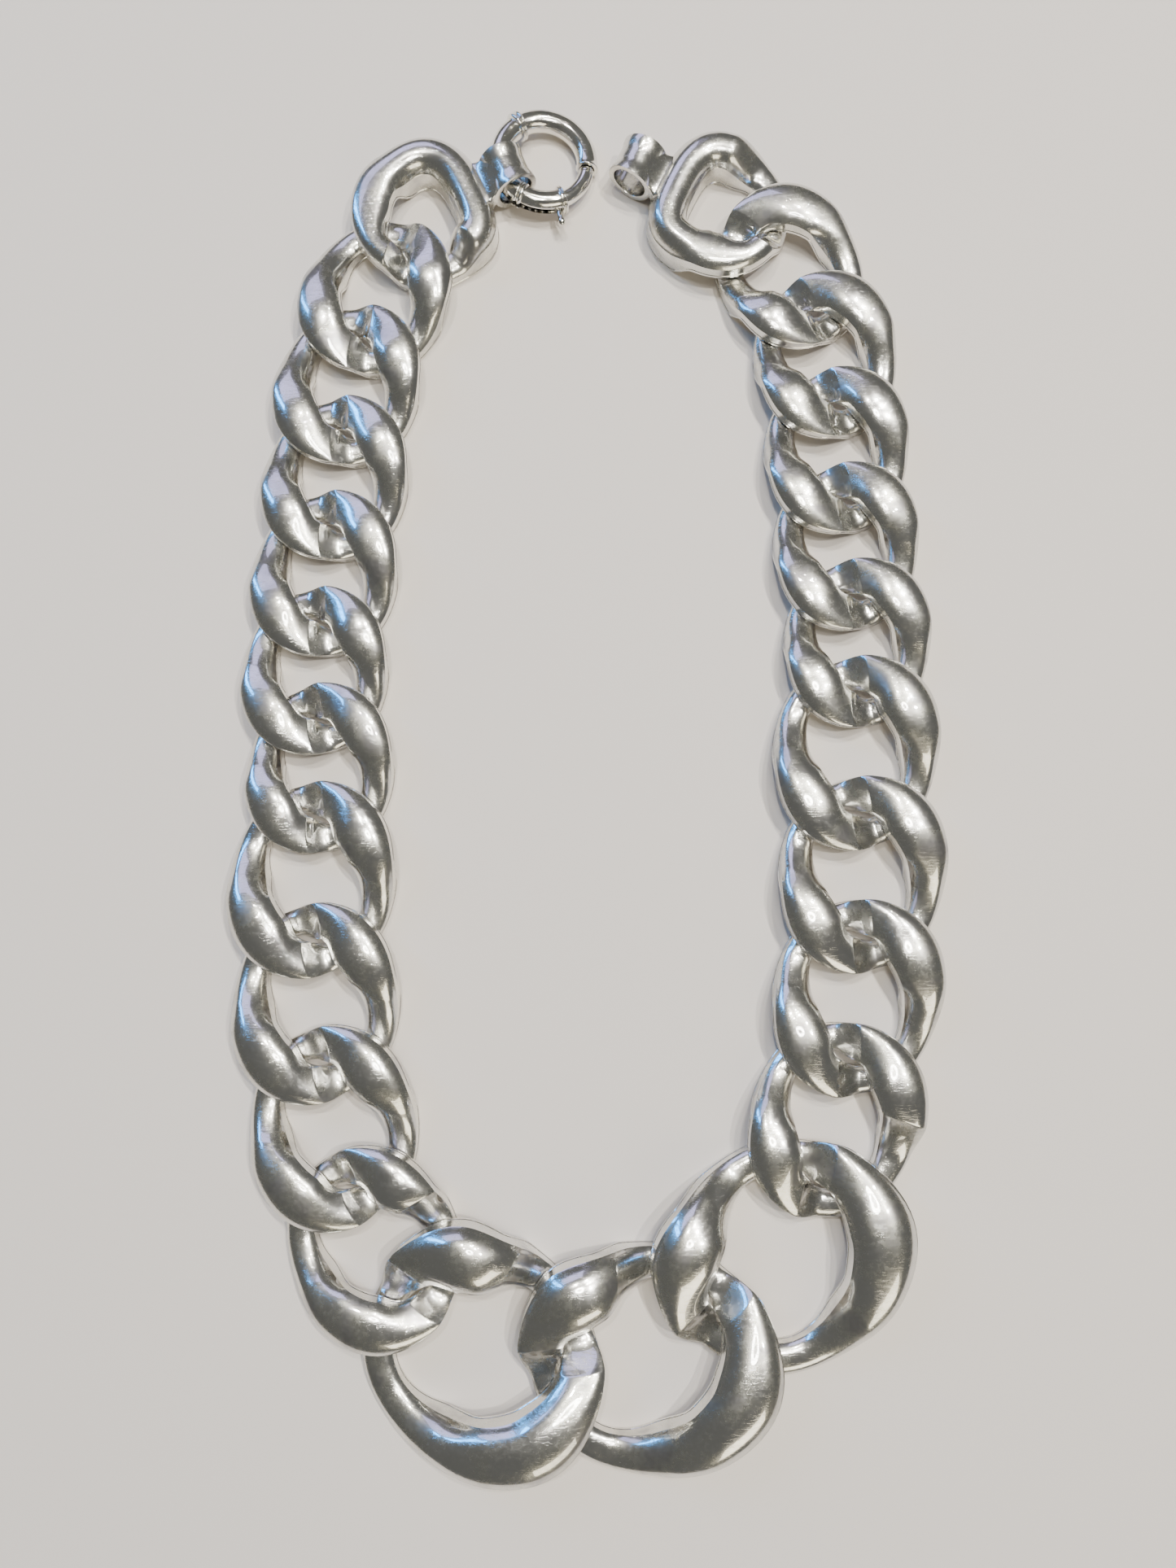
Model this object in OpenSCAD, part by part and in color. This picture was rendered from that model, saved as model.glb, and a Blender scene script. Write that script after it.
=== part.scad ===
// Graduated curb chain necklace: hollow domed links, two end links with
// barrels, and a spring-ring clasp, laid open in a U. Millimetres, +Z up,
// lying on the plane z = 0 with its origin under the middle of the chain.

/* [Small links] */
// Outer width across the chain
small_width = 23; // [21:0.5:25]
// Outer length along the chain
small_length = 26.6; // [25.6:0.1:27.6]
// Distance between neighbouring small links
small_pitch = 15.4; // [15:0.1:15.8]
// Height of the dome above the table
small_height = 6.6; // [6:0.1:7.5]
// Width of each lobe
small_lobe = 6.2; // [5.4:0.1:6.6]

/* [Medium links] */
// Outer width across the chain
medium_width = 26; // [24:0.5:28]
// Outer length along the chain
medium_length = 30.4; // [29.4:0.1:31.4]
// Distance between neighbouring medium links
medium_pitch = 18.8; // [18.4:0.1:19.2]
// Height of the dome above the table
medium_height = 7.4; // [6.6:0.1:8.4]
// Width of each lobe
medium_lobe = 7; // [6:0.1:7.6]

/* [Large links] */
// Outer width across the chain
large_width = 35.6; // [34:0.2:37]
// Outer length along the chain
large_length = 38.4; // [38.2:0.1:41]
// Distance between neighbouring large links
large_pitch = 25.2; // [24.6:0.1:25.8]
// Height of the dome above the table
large_height = 9; // [8:0.1:10]
// Width of each lobe
large_lobe = 9.2; // [8:0.1:10]

/* [Link walls] */
// Height of the low bridge that the next link's lobe passes over
bridge_height = 3; // [2.8:0.1:3.2]
// Width of the low bridge
bridge_width = 4.2; // [3.8:0.1:4.6]
// How far a bridge lies inside the outline, as a share of what the lobes are wider by
bridge_inset = 0.25; // [0:0.05:0.3]
// Width of a small or medium link at the tips of its lobes
tip_width = 5; // [4.6:0.1:5.2]
// Width of a large link at the tips of its lobes
large_tip_width = 6.4; // [5.6:0.1:6.4]
// Gap between a bridge and the lobe that passes over it
lift_gap = 0.3; // [0.25:0.05:0.5]
// Wall of the domed front shell
front_wall = 0.55; // [0.45:0.05:0.7]
// Thickness of the back plate
back_wall = 0.6; // [0.5:0.05:0.7]

/* [Barrels] */
// Length of the barrel at each end of the chain
barrel_length = 6.5; // [6:0.5:7]
// Bore of the barrel
barrel_bore = 5.5; // [5.4:0.1:5.8]
// Wall of the barrel at its middle
barrel_wall = 0.7; // [0.6:0.05:1]
// Distance from an end link's middle to its barrel's axis
barrel_reach = 14.2; // [14.2:0.1:15]
// Distance from an end link's middle to its edge at the barrel
barrel_side_length = 10; // [9.6:0.1:10.2]
// Distance from an end link's middle to its edge at its neighbour
neighbour_side_length = 12.2; // [12:0.1:12.4]
// Distance from an end link's middle to the middle of its interlock
end_half_pitch = 8.2; // [8:0.1:8.3]
// Width of an end link where it turns the end of its loop
end_turn_width = 4.2; // [4:0.1:4.4]

/* [Clasp] */
// Radius of the spring ring at the middle of its tube
ring_radius = 7.1; // [6.8:0.1:7.6]
// Outer diameter of the clasp's tube
tube_diameter = 3.4; // [3.2:0.1:3.6]
// Wall of the clasp's tube
tube_wall = 0.45; // [0.4:0.05:0.5]
// Angle of the gate that the tongue closes
gate_angle = 56; // [50:1:60]
// Diameter of the thumb peg
peg_diameter = 0.9; // [0.8:0.1:1.2]
// How far the thumb peg stands out of the tube
peg_stand = 2; // [1.5:0.1:2.5]

/* [Hidden] */
first_link = 1;
last_link = 22;
left_end = 0;
right_end = 23;
function two_digits(i) = i < 10 ? str("0", i) : str(i);
function link_name(i) = str("link_", two_digits(i));
LINK_NODES = [for (i = [first_link:last_link], part = ["_front", "_back"]) str(link_name(i), part)];
END_NODES = [for (side = ["left", "right"], part = ["_end_front", "_end_back", "_barrel"]) str(side, part)];
CLASP_NODES = ["clasp_tube", "clasp_rear_collar", "clasp_gate_collar", "clasp_tongue",
               "clasp_thumb_peg", "clasp_spring", "clasp_spring_stop"];
$fn = 48;

// The chain's links in order from the clasp: 0 small, 1 medium, 2 large.
link_size = [0, 0, 0, 0, 0, 0, 0, 1, 1, 1, 1, 2, 2, 2, 1, 1, 1, 1, 0, 0, 0, 0, 0, 0];
// How far the chain turns at each link, in degrees, to the left.
link_turn = [34, 14.5, 10, 1, 0.5, 9, -7, 5.5, 6.5, 10.5, 26.5, 41,
             38.5, 32, 11.5, 7.5, 5.5, -4, 7.5, -1, 1, 15, 27, 16];
// Heading of the neck that leads from the clasp into the first link.
first_heading = -154.5;
// Where the first link lies, so that the chain's middle is over the origin.
first_x = -26.34;
first_y = 88.89;

width = [small_width, medium_width, large_width];
length = [small_length, medium_length, large_length];
pitch = [small_pitch, medium_pitch, large_pitch];
height = [small_height, medium_height, large_height];
lobe_width = [small_lobe, medium_lobe, large_lobe];

function heading(i) = i < 0 ? first_heading : heading(i - 1) + link_turn[i];
function is_end(i) = i == left_end || i == right_end;
function half_pitch(i) = is_end(i) ? end_half_pitch : pitch[link_size[i]] / 2;
function along(angle, distance) = distance * [cos(angle), sin(angle)];
function centre(i) =
    i == 0 ? [first_x, first_y]
           : centre(i - 1) + along(heading(i - 1), half_pitch(i - 1) + half_pitch(i));

// A link's outline is a superellipse. Its angles are counted from its +X side.
// An end link is shorter and squarer on its barrel's side, its +Y side.
steps = 30;
outline_power = 2.15;
barrel_side_power = 2.6;
function ease(from, to, x) =
    let (t = min(1, max(0, (x - from) / (to - from)))) t * t * (3 - 2 * t);
function power_of(v, p) = sign(v) * pow(abs(v), p);
function half_width(i) = width[link_size[i]] / 2;
function half_length(i, a) =
    !is_end(i) ? length[link_size[i]] / 2 : sin(a) > 0 ? barrel_side_length : neighbour_side_length;
function roundness(i, a) = is_end(i) && sin(a) > 0 ? barrel_side_power : outline_power;
function outline_point(i, a) =
    let (n = roundness(i, a))
    along(a, pow(pow(abs(cos(a)) / half_width(i), n) + pow(abs(sin(a)) / half_length(i, a), n), -1 / n));
function outline_normal(i, a) =
    let (p = outline_point(i, a),
         power = roundness(i, a) - 1,
         n = [power_of(p.x / half_width(i), power) / half_width(i),
              power_of(p.y / half_length(i, a), power) / half_length(i, a)])
    n / norm(n);

// Position along a lobe, in degrees from the middle of the bridge before it.
// An end link has one bridge and counts all the way round.
bridge_angle = 131;
function along_lobe(i, a) = (a - bridge_angle + 360) % (is_end(i) ? 360 : 180);
// A smaller link keeps low for longer under the wide lobe of a large neighbour.
function neighbour(i, a) = (a - bridge_angle + 360) % 360 < 180 ? i - 1 : i + 1;
function late_rise(i, a) =
    is_end(i) || link_size[neighbour(i, a)] < 2 ? 0 : link_size[i] < 2 ? 18 : 5;
// A lobe rises steeply to a crease, arches over its crest to a crisp tip, and is
// scooped down to the next bridge.
lobe_rise = 47;
lobe_crest = 90;
lobe_tip = 133;
scoop_end = 151;
rise_run = 31;
tip_share = 0.5;
function clipped(x) = min(1, max(0, x));
function arch(s) = 1 - (1 - tip_share) * pow((s - lobe_crest) / (lobe_tip - lobe_crest), 2);
function scoop(s) = tip_share * pow(clipped((scoop_end - s) / (scoop_end - lobe_tip)), 1.8);
// How much of the dome stands at each place: 0 on a bridge, 1 on a lobe's crest.
function dome_share(i, a) =
    let (s = along_lobe(i, a), rise = lobe_rise + late_rise(i, a))
    is_end(i) ? 1 - ease(124, 148, s) * (1 - ease(212, 244, s))
    : s < rise ? arch(rise) * pow(clipped((s - rise + rise_run) / rise_run), 1.7)
    : s < lobe_tip ? arch(s) : scoop(s);
// How much the underside is raised: 1 where a lobe passes over a bridge.
function lift_share(i, a) =
    let (s = along_lobe(i, a)) ease(46, 70, s) * (1 - ease(130, 153, s));
// How far a link has grown from its bridge's width to its lobe's.
function growth(i, a) =
    let (s = along_lobe(i, a))
    is_end(i) ? 1 - ease(150, 170, s) * (1 - ease(200, 240, s))
              : ease(12, 96, s) * (1 - ease(lobe_tip - 2, scoop_end + 4, s));
function narrow_width(i) = bridge_width + (link_size[i] == 2 ? large_extra : 0);
function section_width(i, a) =
    let (s = along_lobe(i, a),
         narrow = narrow_width(i),
         lobe = lobe_width[link_size[i]],
         tip = link_size[i] == 2 ? large_tip_width : tip_width,
         pinched = lobe + (end_turn_width - lobe) * ease(85, 125, s) * (1 - ease(145, 240, s)),
         tapered = lobe + (tip - lobe) * ease(88, lobe_tip + 4, s))
    is_end(i) ? min(narrow + (lobe - narrow) * growth(i, a), pinched)
              : narrow + (tapered - narrow) * growth(i, a);
// How far the outer edge lies inside the outline: on a bridge. A lobe swells past it.
swell_middle = 98;
swell_spread = 22;
function swell(i, a) =
    is_end(i) ? 0 : lobe_swell[link_size[i]] * exp(-pow((along_lobe(i, a) - swell_middle) / swell_spread, 2));
function inset(i, a) =
    (bridge_inset + (link_size[i] == 2 ? large_extra_inset : 0))
        * (lobe_width[link_size[i]] - narrow_width(i)) * (1 - growth(i, a)) - swell(i, a);

// Points of one section: share across the ring, then height.
function front_profile(base, top, wide) =
    let (t = front_wall / wide, h = top - base)
    [[0, base], [0, base + 0.38 * h], [0.17, base + 0.84 * h], [0.5, top],
     [0.83, base + 0.84 * h], [1, base + 0.38 * h], [1, base],
     [1 - t, base], [0.83 - t / 2, base + 0.84 * h - front_wall],
     [0.17 + t / 2, base + 0.84 * h - front_wall], [t, base]];
function back_profile(base) =
    [[-0.01, base], [-0.01, base + back_wall], [1.01, base + back_wall], [1.01, base]];

function turned(p, a) = [p.x * cos(a) - p.y * sin(a), p.x * sin(a) + p.y * cos(a)];
seam_gap = 0.02;
// A large link is stouter on its bridges, and they lie further in.
large_extra = 0.4;
large_extra_inset = 0.15;
lobe_swell = [0.25, 0.25, 1];

// One section of a link. Its interlocks slide round it to face its neighbours,
// and an end link's ring is bent instead, to face its barrel.
function section(i, a, bend, is_front) =
    let (wide = section_width(i, a),
         base = (bridge_height + lift_gap) * lift_share(i, a),
         top = bridge_height + (height[link_size[i]] - bridge_height) * dome_share(i, a),
         shift = bend * sin(a),
         place = is_end(i) ? a : a + shift,
         outer = outline_point(i, place) - inset(i, a) * outline_normal(i, place),
         inner = outer - wide * outline_normal(i, place),
         profile = is_front ? front_profile(base + back_wall + seam_gap, top, wide)
                            : back_profile(base))
    [for (p = profile)
        let (q = turned(outer + (inner - outer) * p[0], is_end(i) ? shift : 0)) [q.x, q.y, p[1]]];

// A closed loop of sections as one solid.
module ring_of(sections) {
    n = len(sections);
    m = len(sections[0]);
    points = [for (s = sections, p = s) p];
    faces = [for (i = [0:n - 1], j = [0:m - 1])
        let (i2 = (i + 1) % n, j2 = (j + 1) % m)
        each [[i * m + j, i2 * m + j2, i2 * m + j], [i * m + j, i * m + j2, i2 * m + j2]]];
    polyhedron(points, faces);
}

module link_ring(i, bend, is_front) {
    ring_of([for (k = [0:steps - 1]) section(i, 360 * k / steps, bend, is_front)]);
}

// Puts a link's children where the link lies, with its +Y side to the link before it.
module at_link(i) {
    translate(centre(i))
        rotate(heading(i - 1) + link_turn[i] / 2 + 90)
            children();
}

module link_front(i) {
    color("silver")
        at_link(i)
            link_ring(i, -link_turn[i] / 2, true);
}

module link_back(i) {
    color("darkgray")
        at_link(i)
            link_ring(i, -link_turn[i] / 2, false);
}

// End links. Each has its barrel on its +Y side and its neighbour on its -Y side.
barrel_radius = barrel_bore / 2 + barrel_wall;
barrel_flare = 0.25;
barrel_axis_height = barrel_radius + barrel_flare;
neck_inner = barrel_side_length - 0.6;
function end_bend(i) = (i == left_end ? -1 : 1) * link_turn[i] / 2;
function end_heading(i) = i == left_end ? heading(i - 1) + 180 : heading(i);

module at_end(i) {
    translate(centre(i))
        rotate(end_heading(i) - 90 - end_bend(i))
            children();
}

// Puts a barrel's children at the barrel's middle, with +X away from the chain.
module at_barrel(i) {
    translate(centre(i))
        rotate(end_heading(i))
            translate([barrel_reach, 0, barrel_axis_height])
                children();
}

module neck(i) {
    neck_width = 6.4;
    difference() {
        at_barrel(i)
            hull() {
                translate([-barrel_radius + 0.9, 0, 0])
                    cube([1, barrel_length, barrel_radius * 1.5], center = true);
                translate([neck_inner - barrel_reach, 0, -0.15])
                    cube([1, neck_width, barrel_radius * 1.4], center = true);
            }
        at_barrel(i)
            rotate([90, 0, 0])
                cylinder(h = barrel_length + 4, r = barrel_radius + barrel_flare + seam_gap, center = true);
    }
}

module end_front(i) {
    color("silver")
        union() {
            at_end(i)
                link_ring(i, end_bend(i), true);
            neck(i);
        }
}

module end_back(i) {
    color("darkgray")
        at_end(i)
            link_ring(i, end_bend(i), false);
}

// The barrel is a waisted sleeve with slightly flared ends.
module barrel(i) {
    half = barrel_length / 2;
    color("silver")
        at_barrel(i)
            rotate([90, 0, 0])
                difference() {
                    rotate_extrude()
                        polygon([[0, -half], [barrel_radius + barrel_flare, -half],
                                 [barrel_radius + barrel_flare, -half + 0.6], [barrel_radius, -half + 1.8],
                                 [barrel_radius, half - 1.8], [barrel_radius + barrel_flare, half - 0.6],
                                 [barrel_radius + barrel_flare, half], [0, half]]);
                    cylinder(h = barrel_length + 1, r = barrel_bore / 2, center = true);
                }
}

// Clasp. Angles are counted round the ring from +X, which points away from the barrel.
tube_radius = tube_diameter / 2;
tube_bore = tube_radius - tube_wall;
running_gap = 0.06;
tongue_radius = tube_bore - running_gap;
gate_start = -32 - gate_angle;
gate_end = -32;
peg_angle = gate_start - 11;
slot_half = peg_diameter / 2 + 0.08;
tongue_travel = 52;
tongue_tail = peg_angle - 8;
stop_angle = -196;
rear_collar_angle = 100;
// The ring turns about the barrel's bore, and its far side rests on the table.
ring_offset = 6.35;
ring_droop = asin((barrel_axis_height - tube_radius - 0.02) / (ring_offset + ring_radius));

module at_clasp() {
    at_barrel(left_end)
        rotate([0, ring_droop, 0])
            translate([ring_offset, 0, 0])
                children();
}

// Part of a ring of the given section, from one angle to another.
module arc(from, to) {
    rotate(from)
        rotate_extrude(angle = to - from, $fn = 96)
            translate([ring_radius, 0])
                children();
}

module clasp_tube() {
    color("silver")
        at_clasp()
            difference() {
                arc(gate_end, gate_start + 360)
                    difference() {
                        circle(tube_radius);
                        circle(tube_bore);
                    }
                arc(peg_angle - tongue_travel - 6, gate_start + 1)
                    translate([0, -slot_half])
                        square([tube_diameter, 2 * slot_half]);
            }
}

module collar(middle, half_angle) {
    collar_wall = 0.4;
    at_clasp()
        arc(middle - half_angle, middle + half_angle)
            difference() {
                circle(tube_radius + seam_gap + collar_wall);
                circle(tube_radius + seam_gap);
            }
}

module clasp_rear_collar() {
    color("silver")
        collar(rear_collar_angle, 6);
}

module clasp_gate_collar() {
    color("silver")
        collar(gate_start - 3, 2.4);
}

module peg_shape(radius) {
    rotate(peg_angle)
        translate([ring_radius, 0, 0])
            rotate([0, 90, 0])
                cylinder(h = tube_radius + peg_stand, r = radius);
}

module clasp_tongue() {
    color("silver")
        at_clasp()
            difference() {
                arc(tongue_tail, gate_end - 0.4)
                    circle(tongue_radius);
                peg_shape(peg_diameter / 2);
            }
}

module clasp_thumb_peg() {
    color("silver")
        at_clasp()
            union() {
                peg_shape(peg_diameter / 2);
                rotate(peg_angle)
                    translate([ring_radius + tube_radius + peg_stand, 0, 0])
                        sphere(peg_diameter / 2 + 0.2);
            }
}

// The coil spring runs round inside the tube from its stop to the tongue.
spring_turns = 11;
spring_wire = 0.16;
spring_radius = tube_bore - spring_wire - 0.06;
spring_start = stop_angle + 4;
spring_end = tongue_tail - 0.5;
spring_steps = 9 * spring_turns;
spring_sides = 4;

function spring_ring(k) =
    let (a = spring_start + (spring_end - spring_start) * k / spring_steps,
         turn = 360 * spring_turns * k / spring_steps)
    [for (j = [0:spring_sides - 1])
        let (side = 360 * j / spring_sides,
             r = spring_radius + spring_wire * cos(side),
             lean = spring_wire * sin(side) / ring_radius * 180 / PI,
             reach = ring_radius + r * cos(turn))
        [reach * cos(a + lean), reach * sin(a + lean), r * sin(turn)]];

module clasp_spring() {
    m = spring_sides;
    last = spring_steps * m;
    points = [for (k = [0:spring_steps], p = spring_ring(k)) p];
    walls = [for (k = [0:spring_steps - 1], j = [0:m - 1])
        let (j2 = (j + 1) % m)
        each [[k * m + j, (k + 1) * m + j, (k + 1) * m + j2], [k * m + j, (k + 1) * m + j2, k * m + j2]]];
    caps = [[for (j = [m - 1:-1:0]) j], [for (j = [0:m - 1]) last + j]];
    color("gray")
        at_clasp()
            polyhedron(points, concat(walls, caps));
}

module clasp_spring_stop() {
    color("gray")
        at_clasp()
            arc(stop_angle - 3, stop_angle + 3)
                circle(tube_bore - 0.01);
}

for (i = [first_link:last_link]) {
    link_front(i);
    link_back(i);
}
end_front(left_end);  // left_end_front
end_back(left_end);  // left_end_back
barrel(left_end);  // left_barrel
end_front(right_end);  // right_end_front
end_back(right_end);  // right_end_back
barrel(right_end);  // right_barrel
clasp_tube();
clasp_rear_collar();
clasp_gate_collar();
clasp_tongue();
clasp_thumb_peg();
clasp_spring();
clasp_spring_stop();
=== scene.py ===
import math

import bpy
import numpy as np
from mathutils import Matrix, Vector


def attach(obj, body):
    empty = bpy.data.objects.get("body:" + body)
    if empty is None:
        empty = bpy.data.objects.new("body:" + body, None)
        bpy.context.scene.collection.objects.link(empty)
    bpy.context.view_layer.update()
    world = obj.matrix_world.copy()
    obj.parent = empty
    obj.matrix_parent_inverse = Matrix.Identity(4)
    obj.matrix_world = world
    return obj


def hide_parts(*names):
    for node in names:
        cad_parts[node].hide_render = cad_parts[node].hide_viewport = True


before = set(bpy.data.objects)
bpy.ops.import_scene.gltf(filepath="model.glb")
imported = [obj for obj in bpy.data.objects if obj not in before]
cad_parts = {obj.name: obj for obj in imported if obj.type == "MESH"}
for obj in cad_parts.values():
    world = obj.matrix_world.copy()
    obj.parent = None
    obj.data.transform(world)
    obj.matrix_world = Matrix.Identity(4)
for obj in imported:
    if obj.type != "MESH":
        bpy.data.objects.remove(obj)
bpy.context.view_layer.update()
MM = 0.001

# ---------------------------------------------------------------- the chain
# The part's own driving values, in millimetres and degrees.
SIZES = [  # width, length, pitch, height, lobe: small, medium, large
    (23, 26.6, 15.4, 6.6, 6.2),
    (26, 30.4, 18.8, 7.4, 7.0),
    (35.6, 38.4, 25.2, 9.0, 9.2),
]
LINK_SIZE = [0] * 7 + [1] * 4 + [2] * 3 + [1] * 4 + [0] * 6
LINK_TURN = [34, 14.5, 10, 1, 0.5, 9, -7, 5.5, 6.5, 10.5, 26.5, 41,
             38.5, 32, 11.5, 7.5, 5.5, -4, 7.5, -1, 1, 15, 27, 16]
LEFT_END, RIGHT_END = 0, 23
FIRST_HEADING, FIRST_X, FIRST_Y = -154.5, -26.34, 88.89
BRIDGE_HEIGHT, BRIDGE_WIDTH = 3.0, 4.2
LIFT_GAP, FRONT_WALL, BACK_WALL, SEAM_GAP = 0.3, 0.55, 0.6, 0.02
BARREL_LENGTH, BARREL_BORE, BARREL_WALL, BARREL_FLARE = 6.5, 5.5, 0.7, 0.25
BARREL_REACH, BARREL_SIDE, NEIGHBOUR_SIDE = 14.2, 10.0, 12.2
END_HALF_PITCH, END_TURN_WIDTH = 8.2, 4.2
RING_RADIUS, TUBE_DIAMETER, TUBE_WALL, GATE_ANGLE = 7.1, 3.4, 0.45, 56
PEG_DIAMETER, PEG_STAND = 0.9, 2.0
BRIDGE_ANGLE = 131
# By size: what a lobe gains on the CAD's width, its width at the tip, how far it swells outwards,
# what its bridge gains, and how much of a narrower place is taken off the outside.
LOBE_GAIN = (0.8, 0.8, 0.6)
TIP_WIDTH = (5.7, 5.7, 6.8)
SWELL = (0.25, 0.25, 1.0)
BRIDGE_GAIN = (0, 0, 0.4)
INSET_SHARE = (0.25, 0.25, 0.4)


def ease(start, end, x):
    t = np.clip((np.asarray(x, float) - start) / (end - start), 0, 1)
    return t * t * (3 - 2 * t)


def is_end(i):
    return i in (LEFT_END, RIGHT_END)


def heading(i):
    return FIRST_HEADING + sum(LINK_TURN[:i + 1])


def half_pitch(i):
    return END_HALF_PITCH if is_end(i) else SIZES[LINK_SIZE[i]][2] / 2


def centre(i):
    x, y = FIRST_X, FIRST_Y
    for k in range(1, i + 1):
        a = math.radians(heading(k - 1))
        d = half_pitch(k - 1) + half_pitch(k)
        x += d * math.cos(a)
        y += d * math.sin(a)
    return x, y


def end_bend(i):
    return (-1 if i == LEFT_END else 1) * LINK_TURN[i] / 2


def end_heading(i):
    return heading(-1) + 180 if i == LEFT_END else heading(i)


def neighbour_size(i, a):
    """The size of the link that the lobe starting at ring angle a is next to."""
    before = (a - BRIDGE_ANGLE + 360) % 360 < 180
    return LINK_SIZE[i - 1 if before else i + 1]


# ------------------------------------------------------------- link surfaces
def outline(i, a):
    """Points and outward normals of a link's outline at angles a, in millimetres."""
    c, s = np.cos(np.radians(a)), np.sin(np.radians(a))
    width, length = SIZES[LINK_SIZE[i]][:2]
    hw = np.full_like(a, width / 2)
    hl = np.full_like(a, length / 2)
    n = np.full_like(a, 2.15)
    if is_end(i):
        hl = np.where(s > 0, BARREL_SIDE, NEIGHBOUR_SIDE)
        n = np.where(s > 0, 2.6, 2.15)
    r = ((np.abs(c) / hw) ** n + (np.abs(s) / hl) ** n) ** (-1 / n)
    x, y = r * c, r * s
    nx = np.sign(x) * np.abs(x / hw) ** (n - 1) / hw
    ny = np.sign(y) * np.abs(y / hl) ** (n - 1) / hl
    size = np.hypot(nx, ny)
    return x, y, nx / size, ny / size


# Degrees round a link from its bridge: a lobe's first crease, crest, tip and the scoop's foot.
RISE, CREST, TIP, SCOOP = 47.0, 90.0, 133.0, 151.0
GROWTH_START, FULL_WIDTH = 12, 96
SWELL_MIDDLE, SWELL_SPREAD = 98, 22
# An end link stays narrow beside its barrel.
END_NARROW, END_PINCH = (150, 170, 200, 240), (85, 125, 145, 240)


def widths(i, s):
    """The width of a link's band at s, and how far its outer edge is set in."""
    size = LINK_SIZE[i]
    lobe = SIZES[size][4]
    narrow = BRIDGE_WIDTH + BRIDGE_GAIN[size]
    if is_end(i):
        growth = 1 - ease(*END_NARROW[:2], s) * (1 - ease(*END_NARROW[2:], s))
        pinch = ease(*END_PINCH[:2], s) * (1 - ease(*END_PINCH[2:], s))
        full = lobe + (END_TURN_WIDTH - lobe) * pinch
        wide = np.minimum(narrow + (lobe - narrow) * growth, full)
        return wide, INSET_SHARE[size] * (lobe - narrow) * (1 - growth)
    growth = ease(GROWTH_START, FULL_WIDTH, s) * (1 - ease(TIP - 5, SCOOP + 2, s))
    full = lobe + LOBE_GAIN[size]
    taper = full + (TIP_WIDTH[size] - full) * ease(FULL_WIDTH, TIP, s)
    wide = narrow + (taper - narrow) * growth
    inset = INSET_SHARE[size] * (lobe - narrow) * (1 - growth)
    return wide, inset - SWELL[size] * np.exp(-((s - SWELL_MIDDLE) / SWELL_SPREAD) ** 2)


def crown(i, s, late):
    """How high the crown stands above a bridge, from 0 to 1 of the dome."""
    if is_end(i):
        fall = np.where(s < TIP, 0, 1 - (1 - np.clip((s - TIP) / (SCOOP - TIP), 0, 1)) ** 1.8)
        back = ease(212, 244, s)
        return np.maximum(1 - fall, back)
    rise = RISE + late
    arch = 1 - 0.5 * ((s - CREST) / (TIP - CREST)) ** 2
    start = 1 - 0.5 * ((rise - CREST) / (TIP - CREST)) ** 2
    below = start * np.clip((s - 16 - late) / (rise - 16 - late), 0, 1) ** 1.7
    beyond = 0.5 * (1 - np.clip((s - TIP) / (SCOOP - TIP), 0, 1)) ** 1.8
    return np.where(s < rise, below, np.where(s < TIP, arch, beyond))


def lobe_stations(i, late):
    """Places along a lobe, closest together at its two creases."""
    rise = RISE + late
    parts = [np.arange(0, 14, 3.5), np.arange(14, rise - 2, 2.6),
             [rise - 1.2, rise - 0.35, rise + 0.35, rise + 1.2],
             np.arange(rise + 3, TIP - 6, 3.4),
             [TIP - 4, TIP - 2, TIP - 0.8, TIP - 0.2, TIP + 0.2, TIP + 0.8],
             np.arange(TIP + 2, SCOOP, 1.7), np.arange(SCOOP, 178, 3.6)]
    return np.concatenate([np.asarray(p, float) for p in parts])


def ring_stations(i):
    """Ring angles of the sections, with the place along the lobe and how late it rises."""
    if is_end(i):
        s = np.concatenate([np.arange(0, TIP - 4, 3.2),
                            [TIP - 3, TIP - 1.5, TIP - 0.6, TIP - 0.2, TIP + 0.2, TIP + 0.8],
                            np.arange(TIP + 2, SCOOP, 1.7), np.arange(SCOOP, 359, 3.4)])
        return s + BRIDGE_ANGLE, s, np.zeros_like(s)
    out = []
    for start in (BRIDGE_ANGLE, BRIDGE_ANGLE + 180):
        big = neighbour_size(i, start + 1) == 2
        late = (5 if LINK_SIZE[i] == 2 else 18) if big else 0
        s = lobe_stations(i, late)
        out.append(np.stack([s + start, s, np.full_like(s, late)]))
    return np.concatenate(out, 1)


def place_local(i, a, s, across, z):
    """Points of a link in its own frame. a, s and across (0 outer to 1 inner) are 2-D."""
    wide, inset = widths(i, s)
    bend = end_bend(i) if is_end(i) else -LINK_TURN[i] / 2
    shift = bend * np.sin(np.radians(a))
    place = a if is_end(i) else a + shift
    x, y, nx, ny = outline(i, place)
    d = inset + wide * across
    x, y = x - d * nx, y - d * ny
    if is_end(i):
        c, w = np.cos(np.radians(shift)), np.sin(np.radians(shift))
        x, y = x * c - y * w, x * w + y * c
    return np.stack([x, y, z], -1)


def link_frame(i):
    if is_end(i):
        turn = end_heading(i) - 90 - end_bend(i)
    else:
        turn = heading(i - 1) + LINK_TURN[i] / 2 + 90
    return Matrix.Translation((*centre(i), 0)) @ Matrix.Rotation(math.radians(turn), 4, "Z")


def underside(s):
    """The height that a lobe is lifted to, over the neighbour's bridge."""
    lift = ease(43, 67, s) * (1 - ease(134, 156, s))
    return (BRIDGE_HEIGHT + LIFT_GAP) * lift


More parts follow.
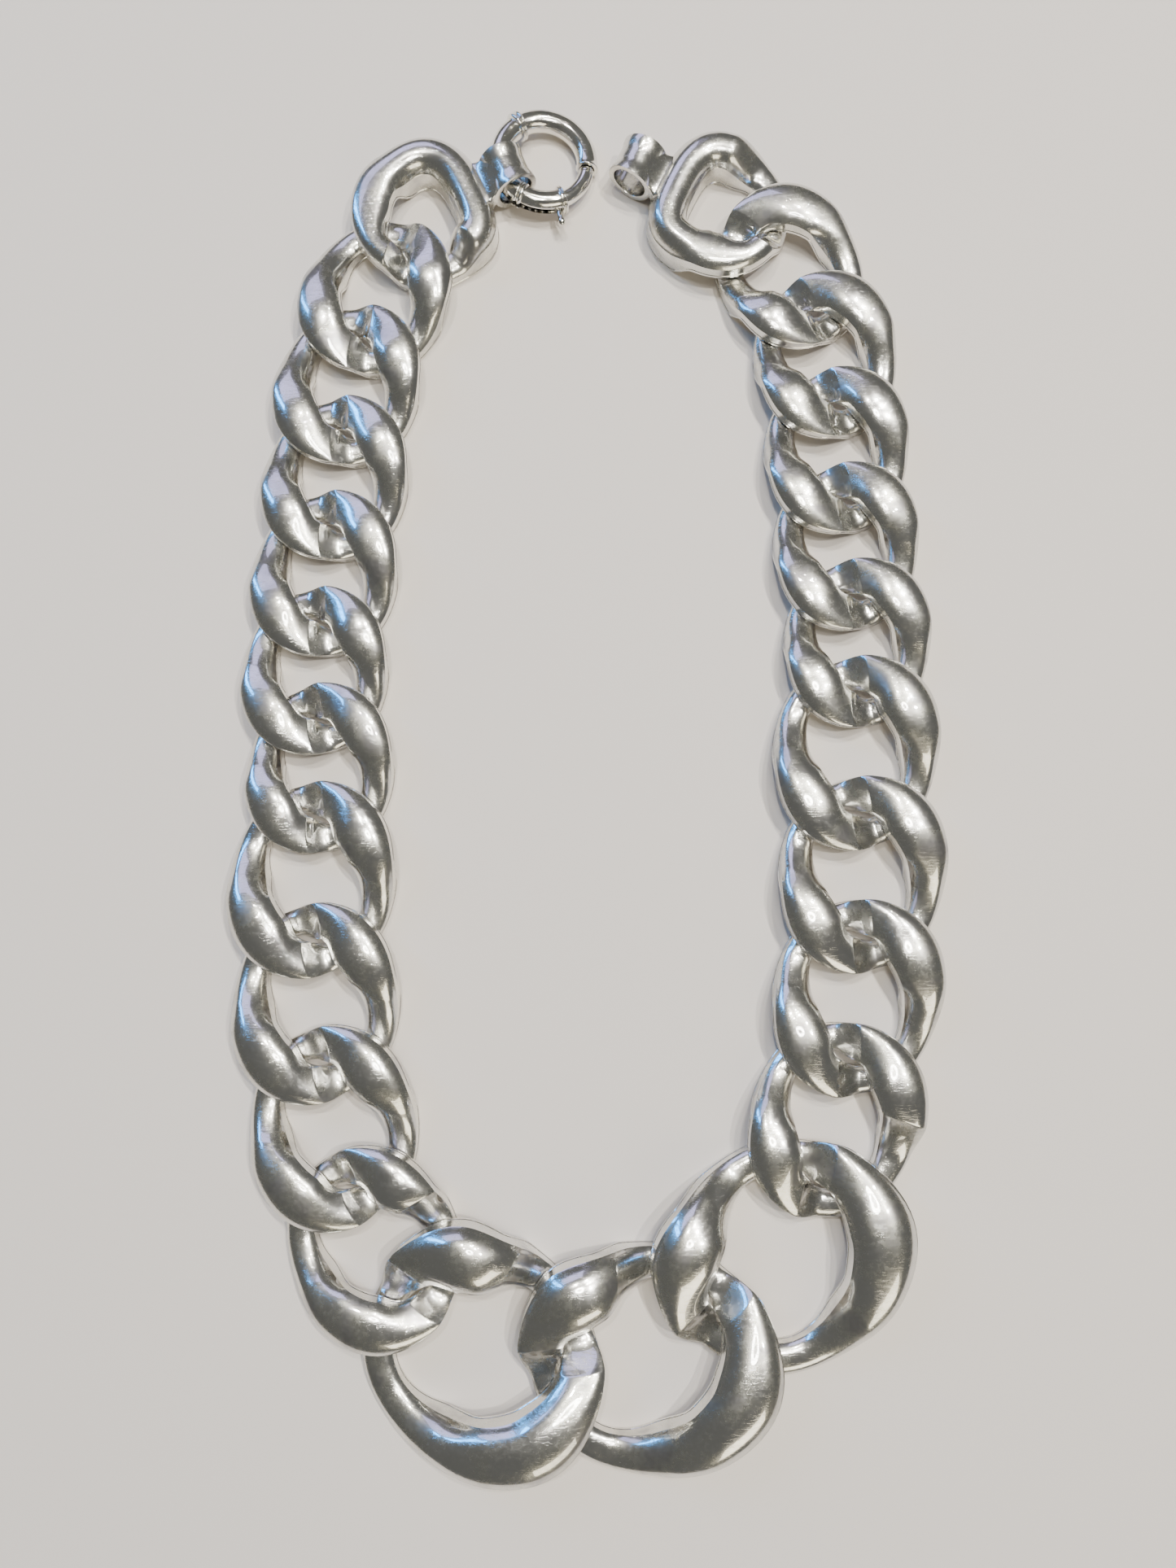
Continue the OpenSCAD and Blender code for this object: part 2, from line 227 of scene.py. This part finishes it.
# A front shell's section: the rim's ledge as a share of the width, the share of the height that its
# wall takes, the bevel at its foot, and how far the creases run askew, in degrees.
LEDGE = 0.02
WALL_SHARE, END_WALL_SHARE = 0.66, 0.62
FRONT_BEVEL, BACK_BEVEL = 0.06, 0.09
SKEW = 7


def front_points(i):
    """The domed, hollow front shell: its outside from rim to rim, then its inside."""
    a, s, late = ring_stations(i)
    # The dome's points, closer together near its edges.
    t = np.linspace(-1, 1, 25)
    t = np.sign(t) * np.abs(t) ** 0.75
    dome_u = LEDGE + (1 - 2 * LEDGE) * (t + 1) / 2
    size = SIZES[LINK_SIZE[i]]
    # The creases run askew over the dome: this shifts its points along the lobe.
    def skewed(u):
        rise, tip = np.exp(-((s - RISE - late) / 16) ** 2), np.exp(-((s - TIP) / 14) ** 2)
        return SKEW * (rise - tip) * (u - 0.5)

    sections = []
    share = crown(i, s, late)
    base = underside(s) + BACK_WALL + SEAM_GAP
    top = BRIDGE_HEIGHT + (size[3] - BRIDGE_HEIGHT) * share
    wide, _ = widths(i, s)
    edge_share = END_WALL_SHARE if is_end(i) else WALL_SHARE - 0.06 * share
    edge = base + edge_share * (top - base)

    def add(u, z, lean=1.0):
        shift = skewed(u) * lean
        u = np.broadcast_to(u, s.shape)
        sections.append(place_local(i, a + shift, s, u, z))

    add(0.0 + FRONT_BEVEL / wide, base, 0)
    add(0.0, base + FRONT_BEVEL, 0)
    add(0.004, base + 0.5 * (edge - base), 0.5)
    add(0.008, edge - 0.03)
    add(0.012, edge)
    for u, v in zip(dome_u, t):
        add(u, edge + 0.05 + (top - edge - 0.05) * (1 - 0.45 * v ** 2 - 0.55 * v ** 4))
    add(1 - 0.012, edge)
    add(1 - 0.008, edge - 0.03)
    add(1 - 0.004, base + 0.5 * (edge - base), 0.5)
    add(1.0, base + FRONT_BEVEL, 0)
    add(1.0 - FRONT_BEVEL / wide, base, 0)
    wall = FRONT_WALL / wide
    for u, drop in ((1 - wall, None), (0.83 - wall / 2, 0.16), (0.5, 0.0),
                    (0.17 + wall / 2, 0.16), (wall, None)):
        if drop is None:
            add(u, base, 0)
        else:
            add(u, np.maximum(top - drop * (top - base) - FRONT_WALL - 0.1, base + 0.3), 0)
    return np.stack(sections, 1)


def back_points(i):
    """The flat back plate, just proud of the front shell all round."""
    a, s, late = ring_stations(i)
    keep = np.concatenate([[True], np.diff(a) > 0.9])
    a, s = a[keep], s[keep]
    base = underside(s)
    wide, _ = widths(i, s)
    face = base + BACK_WALL
    b = BACK_BEVEL
    outer, inner = -0.01, 1.01
    out = []
    for u, z in ((outer + b / wide, base), (outer, base + b), (outer, face - b),
                 (outer + b / wide, face), (0.5, face), (inner - b / wide, face),
                 (inner, face - b), (inner, base + b), (inner - b / wide, base),
                 (0.75, base), (0.5, base), (0.25, base)):
        out.append(place_local(i, a, s, np.broadcast_to(u, s.shape), z))
    return np.stack(out, 1)


# -------------------------------------------------------------------- meshes
def make_mesh(name, points, faces, material):
    mesh = bpy.data.meshes.new(name)
    mesh.from_pydata([tuple(p) for p in points], [], faces)
    mesh.validate()
    mesh.shade_smooth()
    mesh.materials.append(material)
    piece = bpy.data.objects.new(name, mesh)
    bpy.context.scene.collection.objects.link(piece)
    return piece


def loft(name, grid, material, matrix, closed=True, flat_above=None):
    """A solid from rings of points. grid is sections by points by 3, in millimetres."""
    n, m = grid.shape[:2]
    points = grid.reshape(-1, 3) * MM
    faces = []
    for k in range(n if closed else n - 1):
        k2 = (k + 1) % n
        for j in range(m):
            j2 = (j + 1) % m
            faces.append((k * m + j, k * m + j2, k2 * m + j2, k2 * m + j))
    if not closed:
        faces.append(tuple(reversed(range(m))))
        faces.append(tuple((n - 1) * m + j for j in range(m)))
    m4 = matrix.copy()
    m4.translation = m4.translation * MM
    piece = make_mesh(name, points, faces, material)
    piece.data.transform(m4)
    if signed_volume(piece.data) < 0:
        piece.data.flip_normals()
    if flat_above:
        sharpen(piece, flat_above)
    return piece


def signed_volume(mesh):
    co = np.zeros(len(mesh.vertices) * 3, np.float64)
    mesh.vertices.foreach_get("co", co)
    co = co.reshape(-1, 3)
    mesh.calc_loop_triangles()
    tri = np.zeros(len(mesh.loop_triangles) * 3, np.int32)
    mesh.loop_triangles.foreach_get("vertices", tri)
    tri = tri.reshape(-1, 3)
    return float((co[tri[:, 0]] * np.cross(co[tri[:, 1]], co[tri[:, 2]])).sum() / 6)


def sharpen(piece, degrees):
    """Edges that turn by more than this stay crisp."""
    piece.data.set_sharp_from_angle(angle=math.radians(degrees))


def body_name(i):
    return "left_end" if i == LEFT_END else "right_end" if i == RIGHT_END else f"link_{i:02d}"


# ----------------------------------------------------------------- materials
def new_material(name):
    material = bpy.data.materials.new(name)
    material.use_nodes = True
    tree = material.node_tree
    shader = tree.nodes["Principled BSDF"]
    return material, tree, shader


def node(tree, kind, **values):
    made = tree.nodes.new(kind)
    for key, value in values.items():
        if key in made.inputs:
            made.inputs[key].default_value = value
        else:
            setattr(made, key, value)
    return made


def ramp(tree, source, stops):
    made = node(tree, "ShaderNodeValToRGB")
    points = made.color_ramp.elements
    while len(points) < len(stops):
        points.new(0.5)
    for point, (position, colour) in zip(points, stops):
        point.position = position
        point.color = (*colour, 1) if len(colour) == 3 else (colour[0],) * 3 + (1,)
    tree.links.new(source, made.inputs["Fac"])
    return made.outputs["Color"]


def stretched(tree, coords, turn, scale):
    mapping = node(tree, "ShaderNodeMapping")
    mapping.inputs["Rotation"].default_value = turn
    mapping.inputs["Scale"].default_value = scale
    tree.links.new(coords, mapping.inputs["Vector"])
    return mapping.outputs["Vector"]


def silver(name, tint=(0.60, 0.59, 0.56), haze=0.23, scratches=1.6):
    """Polished silver, slightly worn: cloudy haze, hairline scratches and a faint tarnish."""
    material, tree, shader = new_material(name)
    link = tree.links.new
    # Texture scales are per metre: 190 gives clouds some 5 mm across.
    coords = node(tree, "ShaderNodeTexCoord").outputs["Object"]
    cloud = node(tree, "ShaderNodeTexNoise", Scale=190, Detail=3, Roughness=0.5)
    fine = node(tree, "ShaderNodeTexNoise", Scale=1500, Detail=5, Roughness=0.7)
    for texture in (cloud, fine):
        link(coords, texture.inputs["Vector"])
    dark = (0.50 * tint[0], 0.49 * tint[1], 0.50 * tint[2])
    olive = (0.90 * tint[0], 0.90 * tint[1], 0.83 * tint[2])
    colour = ramp(tree, cloud.outputs["Fac"], [(0.32, dark), (0.46, olive), (0.62, tint)])
    link(colour, shader.inputs["Base Color"])
    shader.inputs["Metallic"].default_value = 1.0
    rough = ramp(tree, cloud.outputs["Fac"],
                 [(0.3, (haze * 1.5,)), (0.5, (haze,)), (0.72, (haze * 0.7,))])
    speck = ramp(tree, fine.outputs["Fac"], [(0.36, (0.07,)), (0.54, (0.0,))])
    shader.inputs["Coat Weight"].default_value = 1.0
    shader.inputs["Coat IOR"].default_value = 3.6
    shader.inputs["Coat Roughness"].default_value = 0.025
    total = node(tree, "ShaderNodeMath", operation="ADD")
    link(rough, total.inputs[0])
    link(speck, total.inputs[1])
    link(total.outputs["Value"], shader.inputs["Roughness"])
    # Hairline scratches in three directions.
    height = None
    for k, turn in enumerate(((0.3, 0.2, 0.5), (-0.4, 0.5, 1.7), (0.6, -0.3, 2.7))):
        lines = node(tree, "ShaderNodeTexNoise", Scale=1.0, Detail=2, Roughness=0.5,
                     Distortion=0.15)
        link(stretched(tree, coords, turn, (420, 9000, 2600)), lines.inputs["Vector"])
        cut = ramp(tree, lines.outputs["Fac"], [(0.28, (0.0,)), (0.36, (1.0,))])
        if height is None:
            height = cut
        else:
            both = node(tree, "ShaderNodeMath", operation="MULTIPLY")
            link(height, both.inputs[0])
            link(cut, both.inputs[1])
            height = both.outputs["Value"]
    bump = node(tree, "ShaderNodeBump", Strength=0.12 * scratches, Distance=0.00002)
    link(height, bump.inputs["Height"])
    ding = node(tree, "ShaderNodeTexNoise", Scale=420, Detail=2, Roughness=0.5)
    link(coords, ding.inputs["Vector"])
    waves = node(tree, "ShaderNodeBump", Strength=0.25, Distance=0.00008)
    link(ding.outputs["Fac"], waves.inputs["Height"])
    link(bump.outputs["Normal"], waves.inputs["Normal"])
    link(waves.outputs["Normal"], shader.inputs["Normal"])
    link(waves.outputs["Normal"], shader.inputs["Coat Normal"])
    return material


DOME = silver("silver_domes")
BACK = silver("silver_backs", tint=(0.74, 0.73, 0.71), haze=0.24, scratches=1.6)
CLASP = silver("silver_clasp", tint=(0.82, 0.80, 0.76), haze=0.11)
SPRING = silver("steel_spring", tint=(0.52, 0.52, 0.53), haze=0.3)

# --------------------------------------------------------------------- links
for i in range(1, 23):
    matrix = link_frame(i)
    front = loft(f"link_{i:02d}_dome", front_points(i), DOME, matrix, flat_above=28)
    back = loft(f"link_{i:02d}_plate", back_points(i), BACK, matrix, flat_above=35)
    for piece, part in ((front, "front"), (back, "back")):
        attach(piece, body_name(i))
        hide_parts(f"link_{i:02d}_{part}")

for i, side in ((LEFT_END, "left"), (RIGHT_END, "right")):
    matrix = link_frame(i)
    back = loft(f"{side}_end_plate", back_points(i), BACK, matrix, flat_above=35)
    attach(back, body_name(i))
    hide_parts(f"{side}_end_back")
    front = loft(f"{side}_end_dome", front_points(i), DOME, matrix, flat_above=28)
    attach(front, body_name(i))
    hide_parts(f"{side}_end_front")


# ---------------------------------------------------------- necks and barrels
BARREL_RADIUS = BARREL_BORE / 2 + BARREL_WALL
AXIS_HEIGHT = BARREL_RADIUS + BARREL_FLARE


def end_matrix(i):
    """The frame with +X from an end link's middle to its barrel."""
    turn = Matrix.Rotation(math.radians(end_heading(i)), 4, "Z")
    return Matrix.Translation((*centre(i), 0)) @ turn


def signed_power(v, p):
    return np.sign(v) * np.abs(v) ** p


def neck_grid():
    """Sections of the saddle between ring and barrel, which follows the barrel's round."""
    phi = np.radians(np.arange(0, 360, 7.5))
    v = signed_power(np.sin(phi), 0.45)
    side = signed_power(np.cos(phi), 0.45)
    theta = np.radians(172 - 54 * v)
    start = np.stack([np.full_like(v, 8.3), 1.1 + 3.9 * (v + 1) / 2], -1)
    r = BARREL_RADIUS - 0.03 - 0.25 * (1 - np.abs(v) ** 4)
    end = np.stack([BARREL_REACH + r * np.cos(theta), AXIS_HEIGHT + r * np.sin(theta)], -1)
    tangent = np.stack([np.sin(theta), -np.cos(theta)], -1) * np.sign(v + 1e-9)[:, None]
    pull = (np.abs(v) ** 2)[:, None]
    direction = (1 - pull) * np.array([1.0, 0.0]) + pull * tangent
    # The points run along curves that leave the ring and meet the barrel's round smoothly.
    p1 = start + np.stack([np.full_like(v, 1.9), -0.25 - 0.25 * v], -1)
    p2 = end - 1.5 * direction
    sections = []
    for t in np.linspace(0, 1, 22):
        near, far = (1 - t) ** 3 * start + 3 * (1 - t) ** 2 * t * p1, 3 * (1 - t) * t ** 2 * p2
        xz = near + far + t ** 3 * end
        half = 2.95 + 1.9 * (1 - t) ** 2.0 + 0.28 * ease(0.5, 1, t)
        sections.append(np.stack([xz[:, 0], half * side, xz[:, 1]], -1))
    # The end follows the barrel's round instead of cutting across its bore.
    for share in (0.6, 0.2, 0.01):
        sections.append(np.stack([xz[:, 0], share * half * side, xz[:, 1]], -1))
    return np.array(sections)


def barrel_grid():
    """A waisted sleeve with flared, rounded rims, a little shorter on its far side."""
    bore, rim = BARREL_BORE / 2, BARREL_RADIUS + BARREL_FLARE
    profile = [(y * 0.985, BARREL_RADIUS + BARREL_FLARE * float(ease(0.3, 0.92, abs(y))))
               for y in np.linspace(-1, 1, 19)]
    profile += [(1.0, rim - 0.12), (1.0, bore + 0.2), (0.985, bore + 0.08)]
    profile += [(y, bore) for y in np.linspace(0.9, -0.9, 7)]
    profile += [(-0.985, bore + 0.08), (-1.0, bore + 0.2), (-1.0, rim - 0.12)]
    rings = []
    for a in np.radians(np.arange(0, 360, 5)):
        half = BARREL_LENGTH / 2 - 0.35 * float(ease(-0.4, 1, math.cos(a)))
        rings.append([(BARREL_REACH + r * math.cos(a), y * half, AXIS_HEIGHT + r * math.sin(a))
                      for y, r in profile])
    return np.array(rings)


for i, side in ((LEFT_END, "left"), (RIGHT_END, "right")):
    neck = loft(f"{side}_neck", neck_grid(), DOME, end_matrix(i), closed=False, flat_above=40)
    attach(neck, body_name(i))
    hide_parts(f"{side}_end_front")
    sleeve = loft(f"{side}_barrel_sleeve", barrel_grid(), DOME, end_matrix(i), flat_above=35)
    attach(sleeve, body_name(i))
    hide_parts(f"{side}_barrel")

# --------------------------------------------------------------------- clasp
# Angles run round the ring from the side away from the barrel.
TUBE_RADIUS = TUBE_DIAMETER / 2
TUBE_BORE = TUBE_RADIUS - TUBE_WALL
GATE_END = -32
GATE_START = GATE_END - GATE_ANGLE
PEG_ANGLE = GATE_START - 11
TONGUE_TRAVEL = 52
RING_OFFSET = 6.35
RING_DROOP = math.asin((AXIS_HEIGHT - TUBE_RADIUS - 0.02) / (RING_OFFSET + RING_RADIUS))
CLASP_FRAME = (end_matrix(LEFT_END) @ Matrix.Translation((BARREL_REACH, 0, AXIS_HEIGHT))
               @ Matrix.Rotation(RING_DROOP, 4, "Y") @ Matrix.Translation((RING_OFFSET, 0, 0)))


def ring_sweep(name, stations, sides=28, bore=None):
    """A tube round the clasp's ring: stations are (angle, radius). With a bore it is a collar."""
    turns = np.radians(np.arange(sides) * 360 / sides)
    if bore is None:
        grid = []
        for a, r in stations:
            reach = RING_RADIUS + r * np.cos(turns)
            c, s = math.cos(math.radians(a)), math.sin(math.radians(a))
            grid.append(np.stack([reach * c, reach * s, r * np.sin(turns)], -1))
        return loft(name, np.array(grid), CLASP, CLASP_FRAME, closed=False, flat_above=40)
    loop = list(stations) + [(stations[-1][0], bore), (stations[0][0], bore)]
    grid = []
    for turn in turns:
        row = []
        for a, r in loop:
            reach = RING_RADIUS + r * math.cos(turn)
            c, s = math.cos(math.radians(a)), math.sin(math.radians(a))
            row.append((reach * c, reach * s, r * math.sin(turn)))
        grid.append(row)
    return loft(name, np.array(grid), CLASP, CLASP_FRAME, flat_above=40)


def beads(middle, half, low, high):
    """Stations of a collar that is turned into two rounded beads."""
    out = []
    for a in np.linspace(-1, 1, 25):
        bump = abs(math.sin((a + 1) * math.pi)) ** 0.6
        out.append((middle + half * a, low + (high - low) * bump))
    return out


def cut(piece, tool):
    """Takes tool's solid out of piece, and tool with it."""
    change = piece.modifiers.new("cut", "BOOLEAN")
    change.operation = "DIFFERENCE"
    change.solver = "EXACT"
    change.object = tool
    bpy.context.view_layer.update()
    graph = bpy.context.evaluated_depsgraph_get()
    made = bpy.data.meshes.new_from_object(piece.evaluated_get(graph))
    piece.modifiers.clear()
    piece.data = made
    bpy.data.objects.remove(tool)


def slot_grid():
    """The slot that the thumb peg runs in, as a bar round the outside of the ring."""
    half = PEG_DIAMETER / 2 + 0.08
    rows = []
    for a in np.radians(np.linspace(PEG_ANGLE - TONGUE_TRAVEL - 6, GATE_START + 1.5, 40)):
        rows.append([(r * math.cos(a), r * math.sin(a), z)
                     for r, z in ((RING_RADIUS + 0.3, -half), (RING_RADIUS + 2.4, -half),
                                  (RING_RADIUS + 2.4, half), (RING_RADIUS + 0.3, half))])
    return np.array(rows)


TUBE_LIP = TUBE_RADIUS + 0.10
tube_stations = [(GATE_END, TUBE_RADIUS - 0.12), (GATE_END + 0.5, TUBE_LIP - 0.04),
                 (GATE_END + 1.6, TUBE_LIP), (GATE_END + 3.0, TUBE_LIP - 0.03),
                 (GATE_END + 3.8, TUBE_RADIUS)]
tube_stations += [(a, TUBE_RADIUS) for a in np.linspace(GATE_END + 7, GATE_START + 357, 76)]
# Two more beads stand at the barrel's lower mouth.
MOUTH_BEADS = 214
tube_stations = [p for p in tube_stations if abs(p[0] - MOUTH_BEADS) >= 7]
tube_stations += beads(MOUTH_BEADS, 5.5, TUBE_RADIUS, TUBE_RADIUS + 0.32)
tube_stations.sort(key=lambda p: p[0])
tube_stations += [(GATE_START + 359.4, TUBE_RADIUS), (GATE_START + 360, TUBE_RADIUS - 0.1)]
tube = ring_sweep("clasp_ring_tube", tube_stations, sides=36)
inner_angles = np.linspace(GATE_END - 3, GATE_START + 363, 80)
inner = ring_sweep("inner", [(a, TUBE_BORE) for a in inner_angles])
cut(tube, inner)
cut(tube, loft("slot", slot_grid(), CLASP, CLASP_FRAME, closed=False))
tube.data.shade_smooth()
sharpen(tube, 40)

COLLAR_BORE = TUBE_RADIUS + 0.012
BEAD_FOOT = TUBE_RADIUS + 0.08
rear = ring_sweep("clasp_rear_beads", beads(100, 6, BEAD_FOOT, TUBE_RADIUS + 0.55),
                  sides=32, bore=COLLAR_BORE)
gate = ring_sweep("clasp_gate_beads", beads(GATE_START - 3.6, 3.6, BEAD_FOOT, TUBE_RADIUS + 0.45),
                  sides=32, bore=COLLAR_BORE)
tongue_radius = TUBE_BORE - 0.06
tongue_stations = [(PEG_ANGLE - 8, tongue_radius - 0.2), (PEG_ANGLE - 7, tongue_radius)]
tongue_stations += [(a, tongue_radius) for a in np.linspace(PEG_ANGLE - 4, GATE_END - 9, 24)]
for a, r in ((-8.0, 0), (-7.6, -0.16), (-6.6, -0.16), (-6.2, 0), (-4.6, 0), (-4.2, -0.14),
             (-3.4, -0.14), (-3.0, 0), (-1.6, 0), (-0.7, -0.12), (-0.4, -0.35)):
    tongue_stations.append((GATE_END + a, tongue_radius + r))
tongue = ring_sweep("clasp_gate_tongue", tongue_stations)


def peg_grid():
    """The thumb peg: a stem with a rounded button."""
    stem = PEG_DIAMETER / 2
    end = RING_RADIUS + TUBE_RADIUS + PEG_STAND
    profile = [(RING_RADIUS + 0.2, stem - 0.05), (RING_RADIUS + 0.3, stem), (end - 1.15, stem),
               (end - 0.85, stem + 0.02), (end - 0.6, stem + 0.13), (end - 0.35, stem + 0.19),
               (end, stem + 0.2), (end + 0.3, stem + 0.08), (end + 0.5, stem - 0.12),
               (end + 0.62, stem - 0.32)]
    c, s = math.cos(math.radians(PEG_ANGLE)), math.sin(math.radians(PEG_ANGLE))
    rows = []
    for x, r in profile:
        rows.append([(x * c - r * math.cos(t) * s, x * s + r * math.cos(t) * c, r * math.sin(t))
                     for t in np.radians(np.arange(0, 360, 15))])
    return np.array(rows)


peg = loft("clasp_peg", peg_grid(), CLASP, CLASP_FRAME, closed=False, flat_above=40)
for piece, cad, body, slot in (
        (tube, "clasp_tube", "clasp_ring", "clasp_silver"),
        (rear, "clasp_rear_collar", "clasp_ring", "clasp_silver"),
        (gate, "clasp_gate_collar", "clasp_ring", "clasp_silver"),
        (tongue, "clasp_tongue", "clasp_gate", "clasp_gate"),
        (peg, "clasp_thumb_peg", "clasp_gate", "clasp_gate")):
    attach(piece, body)
    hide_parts(cad)

for name in ("clasp_spring", "clasp_spring_stop"):
    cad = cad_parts[name]
    cad.data.materials.clear()
    cad.data.materials.append(SPRING)

# --------------------------------------------------------------------- stage
floor_mesh = bpy.data.meshes.new("floor")
half = 1.2
floor_mesh.from_pydata([(-half, -half, 0), (half, -half, 0), (half, half, 0), (-half, half, 0)],
                       [], [(0, 1, 2, 3)])
floor = bpy.data.objects.new("floor", floor_mesh)
floor.location.z = -0.00002
bpy.context.scene.collection.objects.link(floor)
floor_material, _, floor_shader = new_material("pale_floor")
floor_shader.inputs["Base Color"].default_value = (0.66, 0.61, 0.55, 1)
floor_shader.inputs["Roughness"].default_value = 0.75
floor.data.materials.append(floor_material)

world = bpy.data.worlds.new("studio")
world.use_nodes = True
world.node_tree.nodes["Background"].inputs["Color"].default_value = (0.92, 0.92, 0.86, 1)
world.node_tree.nodes["Background"].inputs["Strength"].default_value = 0.15
bpy.context.scene.world = world


def area_light(name, place, size, power, colour, shape="DISK", size_y=None, aim=(0, 0, 0)):
    data = bpy.data.lights.new(name, "AREA")
    data.shape = shape
    data.size = size
    if size_y:
        data.size_y = size_y
    data.energy = power
    data.color = colour
    lamp = bpy.data.objects.new(name, data)
    lamp.location = place
    lamp.rotation_euler = (Vector(place) - Vector(aim)).to_track_quat("Z", "Y").to_euler()
    bpy.context.scene.collection.objects.link(lamp)
    return lamp


def ring_light(name, place, outer, inner, strength, colour):
    """A round studio ring lamp."""
    n = 64
    points = [(r * math.cos(2 * math.pi * k / n), r * math.sin(2 * math.pi * k / n), 0)
              for r in (outer, inner) for k in range(n)]
    faces = [(k, n + k, n + (k + 1) % n, (k + 1) % n) for k in range(n)]
    material = bpy.data.materials.new(name)
    material.use_nodes = True
    tree = material.node_tree
    tree.nodes.remove(tree.nodes["Principled BSDF"])
    glow = tree.nodes.new("ShaderNodeEmission")
    glow.inputs["Color"].default_value = (*colour, 1)
    glow.inputs["Strength"].default_value = strength
    tree.links.new(glow.outputs["Emission"], tree.nodes["Material Output"].inputs["Surface"])
    lamp = make_mesh(name, points, faces, material)
    lamp.location = place
    lamp.visible_camera = False


ring_light("ring_lamp", (0.06, 0.02, 0.75), 0.085, 0.04, 36, (1.0, 0.97, 0.90))
for name, place, power in (("spot_a", (0.33, 0.30, 1.0), 5), ("spot_b", (0.42, 0.05, 1.0), 5),
                           ("spot_c", (0.20, 0.45, 1.0), 4), ("spot_d", (-0.10, 0.36, 0.95), 3.5)):
    area_light(name, place, 0.022, power, (1.0, 0.97, 0.92))
area_light("window", (-0.85, 0.62, 0.62), 0.12, 4.5, (0.05, 0.38, 1.0), "RECTANGLE", 0.8)
area_light("sky", (-0.5, 1.1, 0.9), 0.8, 3, (0.62, 0.60, 1.0), "RECTANGLE", 0.6)
area_light("room", (0.5, -1.1, 0.7), 0.8, 5, (1.0, 0.90, 0.68), "RECTANGLE", 0.5)

# -------------------------------------------------------------------- camera
camera_data = bpy.data.cameras.new("camera")
camera_data.sensor_fit = "VERTICAL"
camera_data.sensor_height = 36
camera_data.lens = 36 * 1400 / 1927
camera_data.clip_start = 0.005
camera = bpy.data.objects.new("camera", camera_data)
camera.location = (0.00162, -0.01585, 0.17913)
camera.rotation_euler = tuple(math.radians(a) for a in (4.135, 0.482, 0.401))
bpy.context.scene.collection.objects.link(camera)
bpy.context.scene.camera = camera

bpy.context.view_layer.update()
